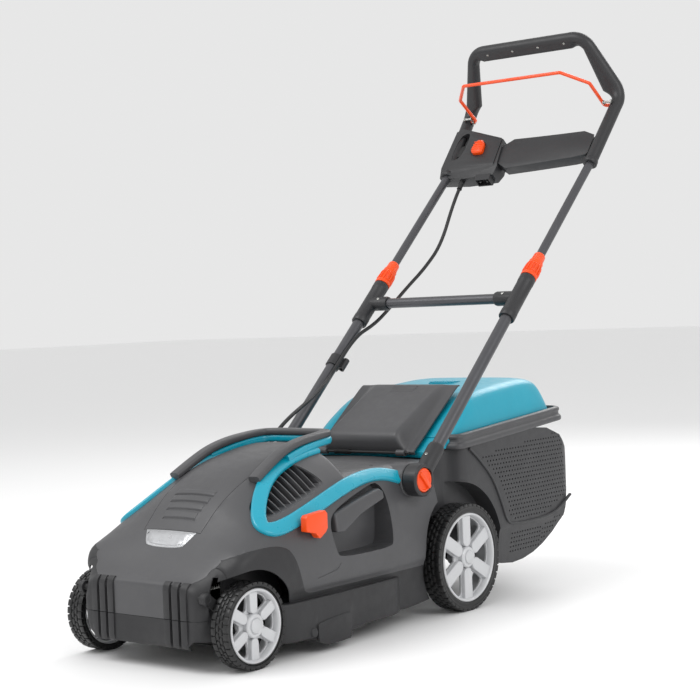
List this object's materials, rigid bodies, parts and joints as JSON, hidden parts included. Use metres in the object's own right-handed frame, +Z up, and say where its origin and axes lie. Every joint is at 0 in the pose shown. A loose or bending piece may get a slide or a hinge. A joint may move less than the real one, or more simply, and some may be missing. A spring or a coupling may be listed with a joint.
{
  "type": "electric rotary lawn mower",
  "caption": "Walk-behind electric rotary lawn mower with four wheels, motor hood, rear grass box and a folding telescopic handle with bail.",
  "frame": {"origin": "on the floor under the middle of the mower's bounding box", "axes": "+Z up, -Y is the way the mower is pushed (front), +X is its left side"},
  "size_m": [0.44, 1.3934, 1.2245],
  "materials": {
    "dark_plastic": "fine satin moulding",
    "grey_plastic": "fine satin moulding",
    "black_plastic": "matte moulding",
    "silver_plastic": "silver paint",
    "teal_plastic": "smooth gloss",
    "orange_plastic": "smooth satin",
    "steel": "plain",
    "aluminium": "cast",
    "grey_tube": "grey powder coat",
    "orange_steel": "orange coat",
    "black_rubber": "matte",
    "black_tyre": "satin",
    "silver_rim": "light grey satin"
  },
  "bodies": {
    "chassis": {"deck": "dark_plastic", "front_bumper": "dark_plastic", "body_cover": "grey_plastic", "motor_hood": "grey_plastic", "nose_plate": "silver_plastic", "side_trims": "teal_plastic", "vent_grilles": "dark_plastic", "carrying_handle": "grey_plastic", "carrying_handle_trim": "teal_plastic", "discharge_chute": "dark_plastic", "flap_hinge_pin": "steel", "flap_spring": "steel", "motor_shields": "aluminium", "motor_stator": "steel", "motor_bearings": "steel", "run_capacitor": "black_plastic", "lift_spring": "steel", "cable_lower": "black_rubber"},
    "rotor": {"motor_rotor": "steel", "cooling_fan": "dark_plastic", "blade_hub": "aluminium", "blade": "steel", "blade_fasteners": "steel"},
    "front_crank": {"front_axle": "steel"},
    "rear_crank": {"rear_axle": "steel"},
    "link": {"height_link": "steel"},
    "height_lock": {"height_button": "orange_plastic"},
    "flap": {"rear_flap": "grey_plastic"},
    "handle_low": {"handle_brackets": "dark_plastic", "lower_tubes": "grey_tube", "tee_connectors": "dark_plastic", "cross_tube": "grey_tube", "cable_clip": "black_plastic"},
    "handle_high": {"upper_tubes": "grey_tube", "handlebar": "black_plastic", "handlebar_screws": "steel", "switch_box": "black_plastic", "cross_panel": "black_plastic", "microswitch": "black_plastic", "mains_inlet": "black_plastic", "strain_relief": "black_rubber", "bail_spring": "steel", "cable_upper": "black_rubber"},
    "start_button": {"safety_button": "orange_plastic"},
    "bail_lever": {"bail": "orange_steel"},
    "box": {"grass_box": "dark_plastic", "grass_box_lid": "teal_plastic"},
    "fill_indicator": {"fill_flap": "teal_plastic"},
    "front_wheel_left": {"front_tyre_left": "black_tyre", "front_rim_left": "silver_rim"},
    "rear_wheel_left": {"rear_tyre_left": "black_tyre", "rear_rim_left": "silver_rim"},
    "knob_left": {"pivot_knob_left": "orange_plastic"},
    "collar_left": {"clamp_collar_left": "orange_plastic"},
    "front_wheel_right": {"front_tyre_right": "black_tyre", "front_rim_right": "silver_rim"},
    "rear_wheel_right": {"rear_tyre_right": "black_tyre", "rear_rim_right": "silver_rim"},
    "knob_right": {"pivot_knob_right": "orange_plastic"},
    "collar_right": {"clamp_collar_right": "orange_plastic"}
  },
  "joints": [
    {"name": "blade_spin", "type": "hinge", "parent": "chassis", "child": "rotor", "pos_m": [0, -0.3877, 0.06], "axis": [0, 0, 1], "continuous": true},
    {"name": "front_height", "type": "hinge", "parent": "chassis", "child": "front_crank", "pos_m": [0, -0.6857, 0.128], "axis": [1, 0, 0], "range_deg": [-12, 11], "deforming": ["lift_spring"]},
    {"name": "rear_height", "type": "hinge", "parent": "chassis", "child": "rear_crank", "pos_m": [0, -0.0727, 0.159], "axis": [1, 0, 0], "range_deg": [-12, 11]},
    {"name": "link_pivot", "type": "hinge", "parent": "front_crank", "child": "link", "pos_m": [0.103, -0.6777, 0.14], "axis": [1, 0, 0], "range_deg": [-11, 12]},
    {"name": "height_lock_press", "type": "slide", "parent": "chassis", "child": "height_lock", "axis": [-1, 0, 0], "range_m": [0, 0.004], "stiffness_N_per_m": 800, "springref_m": -0.002},
    {"name": "flap_hinge", "type": "hinge", "parent": "chassis", "child": "flap", "pos_m": [0, -0.0607, 0.316], "axis": [1, 0, 0], "range_deg": [0, 52], "stiffness_Nm_per_rad": 0.6, "springref_deg": -17.19, "deforming": ["flap_spring"]},
    {"name": "handle_fold", "type": "hinge", "parent": "chassis", "child": "handle_low", "pos_m": [0, -0.1337, 0.273], "axis": [1, 0, 0], "range_deg": [0, 130], "deforming": ["cable_lower"]},
    {"name": "handle_length", "type": "slide", "parent": "handle_low", "child": "handle_high", "axis": [0, -0.7337, -0.6794], "range_m": [0, 0.2], "deforming": ["cable_upper"]},
    {"name": "start_button_press", "type": "slide", "parent": "handle_high", "child": "start_button", "axis": [0, 0.7776, -0.6287], "range_m": [0, 0.004], "stiffness_N_per_m": 600, "springref_m": -0.002},
    {"name": "bail_pull", "type": "hinge", "parent": "handle_high", "child": "bail_lever", "pos_m": [0, 0.6643, 1.052], "axis": [-1, 0, 0], "range_deg": [0, 38], "stiffness_Nm_per_rad": 0.5, "springref_deg": -34.38, "deforming": ["bail_spring"]},
    {"name": "box_pull", "type": "slide", "parent": "chassis", "child": "box", "axis": [0, 1, 0], "range_m": [0, 0.3]},
    {"name": "fill_indicator_lift", "type": "hinge", "parent": "box", "child": "fill_indicator", "pos_m": [0, 0.2173, 0.431], "axis": [1, 0, 0], "range_deg": [0, 25]},
    {"name": "front_wheel_left_roll", "type": "hinge", "parent": "front_crank", "child": "front_wheel_left", "pos_m": [0.178, -0.6127, 0.075], "axis": [1, 0, 0], "continuous": true},
    {"name": "rear_wheel_left_roll", "type": "hinge", "parent": "rear_crank", "child": "rear_wheel_left", "pos_m": [0.192, 0.0003, 0.106], "axis": [1, 0, 0], "continuous": true},
    {"name": "knob_left_turn", "type": "hinge", "parent": "handle_low", "child": "knob_left", "pos_m": [0.205, -0.1337, 0.273], "axis": [1, 0, 0], "range_deg": [0, 90]},
    {"name": "collar_left_turn", "type": "hinge", "parent": "handle_low", "child": "collar_left", "pos_m": [0.195, 0.30654, 0.68066], "axis": [0, 0.7337, 0.6794], "range_deg": [0, 90]},
    {"name": "front_wheel_right_roll", "type": "hinge", "parent": "front_crank", "child": "front_wheel_right", "pos_m": [-0.178, -0.6127, 0.075], "axis": [1, 0, 0], "continuous": true},
    {"name": "rear_wheel_right_roll", "type": "hinge", "parent": "rear_crank", "child": "rear_wheel_right", "pos_m": [-0.192, 0.0003, 0.106], "axis": [1, 0, 0], "continuous": true},
    {"name": "knob_right_turn", "type": "hinge", "parent": "handle_low", "child": "knob_right", "pos_m": [-0.205, -0.1337, 0.273], "axis": [1, 0, 0], "range_deg": [0, 90]},
    {"name": "collar_right_turn", "type": "hinge", "parent": "handle_low", "child": "collar_right", "pos_m": [-0.195, 0.30654, 0.68066], "axis": [0, 0.7337, 0.6794], "range_deg": [0, 90]}
  ],
  "couplings": [
    {"joint": "rear_height", "follows": "front_height", "ratio": 1},
    {"joint": "link_pivot", "follows": "front_height", "ratio": -1}
  ]
}
